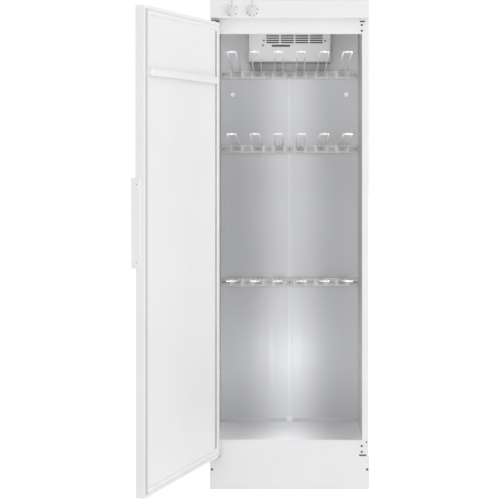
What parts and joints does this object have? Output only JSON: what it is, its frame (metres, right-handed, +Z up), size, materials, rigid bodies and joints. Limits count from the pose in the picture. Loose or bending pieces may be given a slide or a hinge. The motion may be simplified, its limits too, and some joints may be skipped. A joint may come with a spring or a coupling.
{
  "type": "drying cabinet",
  "caption": "Tall white steel drying cabinet: hinged door with edge handle and towel rail, galvanised chamber with rows of lift-up wire arms, fan and heater housing, and a control fascia.",
  "frame": {"origin": "on the floor, in the middle of the casing's footprint, below the exhaust spigot's axis", "axes": "+Z up, -Y towards the front where the door is, +X to the right as seen from the front"},
  "size_m": [0.8235, 1.154, 1.88],
  "materials": {
    "powder_white": "white powder coat with a very fine orange peel",
    "door_white": "smooth white powder coat",
    "zinc_sheet": "galvanised sheet with a soft, faintly mottled sheen",
    "housing_grey": "pale grey, fine-textured paint",
    "coated_rail": "white coated pressed steel, satin",
    "coated_wire": "white plastic-coated steel wire, glossy",
    "steel": "zinc-plated steel",
    "heater_tube": "dull sheathed heating tube",
    "knob_plastic": "smooth white moulded plastic",
    "white_plastic": "white moulded plastic",
    "gasket_grey": "pale grey sealing strip",
    "dark_plastic": "dark moulded plastic"
  },
  "bodies": {
    "cabinet": {"left_side_panel": "powder_white", "right_side_panel": "powder_white", "rear_panel": "zinc_sheet", "top_cover": "powder_white", "base_frame": "powder_white", "plinth_panel": "powder_white", "front_frame": "powder_white", "levelling_feet": "steel", "liner_left": "zinc_sheet", "liner_right": "zinc_sheet", "liner_ceiling": "zinc_sheet", "liner_back_left": "zinc_sheet", "liner_back_right": "zinc_sheet", "back_joint_strip": "zinc_sheet", "floor_tray": "zinc_sheet", "wall_plugs": "white_plastic", "fan_housing": "housing_grey", "fan_motor": "steel", "heater_element": "heater_tube", "humidity_sensor": "dark_plastic", "exhaust_spigot": "zinc_sheet", "cable_gland": "dark_plastic", "terminal_box": "white_plastic", "fascia": "powder_white", "timer_unit": "dark_plastic", "thermostat_unit": "steel", "rail_top": "coated_rail", "rail_middle": "coated_rail", "rail_low": "coated_rail", "casing_screws": "steel", "hinge_top": "steel", "hinge_bottom": "steel"},
    "door": {"door_outer_panel": "door_white", "door_inner_panel": "door_white", "door_gasket": "gasket_grey", "hinge_bushes": "white_plastic", "handle": "door_white", "towel_rail": "door_white", "door_screws": "steel"},
    "timer_knob": {"timer_knob": "knob_plastic"},
    "heat_knob": {"heat_knob": "knob_plastic"},
    "fan_wheel": {"fan_wheel": "dark_plastic"},
    "arm_top_1": {"arm_top_1": "coated_wire"},
    "arm_top_2": {"arm_top_2": "coated_wire"},
    "arm_top_3": {"arm_top_3": "coated_wire"},
    "arm_top_4": {"arm_top_4": "coated_wire"},
    "arm_top_5": {"arm_top_5": "coated_wire"},
    "arm_top_6": {"arm_top_6": "coated_wire"},
    "arm_mid_1": {"arm_mid_1": "coated_wire"},
    "arm_mid_2": {"arm_mid_2": "coated_wire"},
    "arm_mid_3": {"arm_mid_3": "coated_wire"},
    "arm_mid_4": {"arm_mid_4": "coated_wire"},
    "arm_mid_5": {"arm_mid_5": "coated_wire"},
    "arm_mid_6": {"arm_mid_6": "coated_wire"},
    "arm_low_1": {"arm_low_1": "coated_wire"},
    "arm_low_2": {"arm_low_2": "coated_wire"},
    "arm_low_3": {"arm_low_3": "coated_wire"},
    "arm_low_4": {"arm_low_4": "coated_wire"},
    "arm_low_5": {"arm_low_5": "coated_wire"},
    "arm_low_6": {"arm_low_6": "coated_wire"}
  },
  "joints": [
    {"name": "door_hinge", "type": "hinge", "parent": "cabinet", "child": "door", "pos_m": [-0.2855, -0.31, 0.94], "axis": [0, 0, 1], "range_deg": [-63.9, 111.1]},
    {"name": "timer_turn", "type": "hinge", "parent": "cabinet", "child": "timer_knob", "pos_m": [-0.2155, -0.325, 1.8], "axis": [0, 1, 0], "range_deg": [0, 330]},
    {"name": "heat_turn", "type": "hinge", "parent": "cabinet", "child": "heat_knob", "pos_m": [-0.1393, -0.325, 1.8], "axis": [0, 1, 0], "range_deg": [0, 270]},
    {"name": "fan_spin", "type": "hinge", "parent": "cabinet", "child": "fan_wheel", "pos_m": [0.075, 0.167, 1.7035], "axis": [0, 1, 0], "continuous": true},
    {"name": "arm_top_1_lift", "type": "hinge", "parent": "cabinet", "child": "arm_top_1", "pos_m": [-0.22, 0.19577, 1.60725], "axis": [-1, 0, 0], "range_deg": [0, 13]},
    {"name": "arm_top_2_lift", "type": "hinge", "parent": "cabinet", "child": "arm_top_2", "pos_m": [-0.132, 0.19577, 1.60725], "axis": [-1, 0, 0], "range_deg": [0, 6]},
    {"name": "arm_top_3_lift", "type": "hinge", "parent": "cabinet", "child": "arm_top_3", "pos_m": [-0.044, 0.19577, 1.60725], "axis": [-1, 0, 0], "range_deg": [0, 6]},
    {"name": "arm_top_4_lift", "type": "hinge", "parent": "cabinet", "child": "arm_top_4", "pos_m": [0.044, 0.19577, 1.60725], "axis": [-1, 0, 0], "range_deg": [0, 6]},
    {"name": "arm_top_5_lift", "type": "hinge", "parent": "cabinet", "child": "arm_top_5", "pos_m": [0.132, 0.19577, 1.60725], "axis": [-1, 0, 0], "range_deg": [0, 6]},
    {"name": "arm_top_6_lift", "type": "hinge", "parent": "cabinet", "child": "arm_top_6", "pos_m": [0.22, 0.19577, 1.60725], "axis": [-1, 0, 0], "range_deg": [0, 13]},
    {"name": "arm_mid_1_lift", "type": "hinge", "parent": "cabinet", "child": "arm_mid_1", "pos_m": [-0.22, 0.19577, 1.29675], "axis": [-1, 0, 0], "range_deg": [0, 39]},
    {"name": "arm_mid_2_lift", "type": "hinge", "parent": "cabinet", "child": "arm_mid_2", "pos_m": [-0.132, 0.19577, 1.29675], "axis": [-1, 0, 0], "range_deg": [0, 39]},
    {"name": "arm_mid_3_lift", "type": "hinge", "parent": "cabinet", "child": "arm_mid_3", "pos_m": [-0.044, 0.19577, 1.29675], "axis": [-1, 0, 0], "range_deg": [0, 39]},
    {"name": "arm_mid_4_lift", "type": "hinge", "parent": "cabinet", "child": "arm_mid_4", "pos_m": [0.044, 0.19577, 1.29675], "axis": [-1, 0, 0], "range_deg": [0, 39]},
    {"name": "arm_mid_5_lift", "type": "hinge", "parent": "cabinet", "child": "arm_mid_5", "pos_m": [0.132, 0.19577, 1.29675], "axis": [-1, 0, 0], "range_deg": [0, 39]},
    {"name": "arm_mid_6_lift", "type": "hinge", "parent": "cabinet", "child": "arm_mid_6", "pos_m": [0.22, 0.19577, 1.29675], "axis": [-1, 0, 0], "range_deg": [0, 39]},
    {"name": "arm_low_1_lift", "type": "hinge", "parent": "cabinet", "child": "arm_low_1", "pos_m": [-0.22, 0.19577, 0.73995], "axis": [-1, 0, 0], "range_deg": [0, 82]},
    {"name": "arm_low_2_lift", "type": "hinge", "parent": "cabinet", "child": "arm_low_2", "pos_m": [-0.132, 0.19577, 0.73995], "axis": [-1, 0, 0], "range_deg": [0, 82]},
    {"name": "arm_low_3_lift", "type": "hinge", "parent": "cabinet", "child": "arm_low_3", "pos_m": [-0.044, 0.19577, 0.73995], "axis": [-1, 0, 0], "range_deg": [0, 82]},
    {"name": "arm_low_4_lift", "type": "hinge", "parent": "cabinet", "child": "arm_low_4", "pos_m": [0.044, 0.19577, 0.73995], "axis": [-1, 0, 0], "range_deg": [0, 82]},
    {"name": "arm_low_5_lift", "type": "hinge", "parent": "cabinet", "child": "arm_low_5", "pos_m": [0.132, 0.19577, 0.73995], "axis": [-1, 0, 0], "range_deg": [0, 82]},
    {"name": "arm_low_6_lift", "type": "hinge", "parent": "cabinet", "child": "arm_low_6", "pos_m": [0.22, 0.19577, 0.73995], "axis": [-1, 0, 0], "range_deg": [0, 82]}
  ]
}
